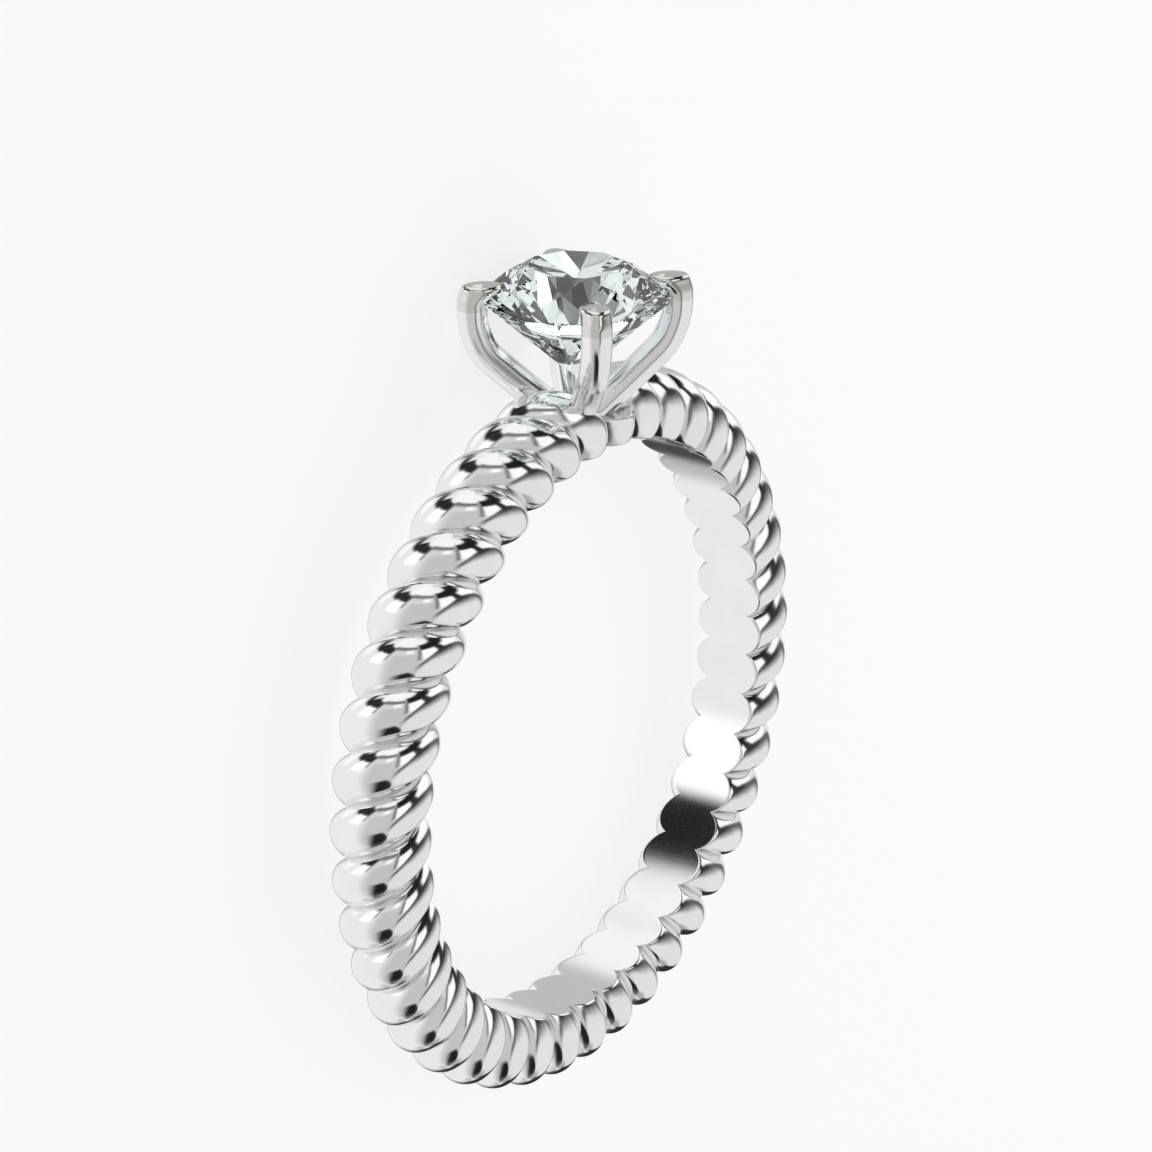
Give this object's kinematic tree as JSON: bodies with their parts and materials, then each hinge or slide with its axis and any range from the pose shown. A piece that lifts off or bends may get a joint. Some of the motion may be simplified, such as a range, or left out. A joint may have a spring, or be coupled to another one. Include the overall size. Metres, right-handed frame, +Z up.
{
  "type": "solitaire ring",
  "caption": "Finger ring with a rope-twist band, bored smooth inside, and a claw head on thin round wires that holds one round brilliant-cut stone; it lies on its side.",
  "frame": {"origin": "centre of the ring's footprint, on the surface it lies on", "axes": "+Z up, close to the axis of the finger hole; -X points to the head and the stone; +Y across the ring"},
  "size_m": [0.0238, 0.0206, 0.005],
  "materials": {
    "white_gold": "mirror polish",
    "diamond": "polished facets"
  },
  "bodies": {
    "root": {"ring_mount": "white_gold", "stone": "diamond"}
  },
  "joints": []
}
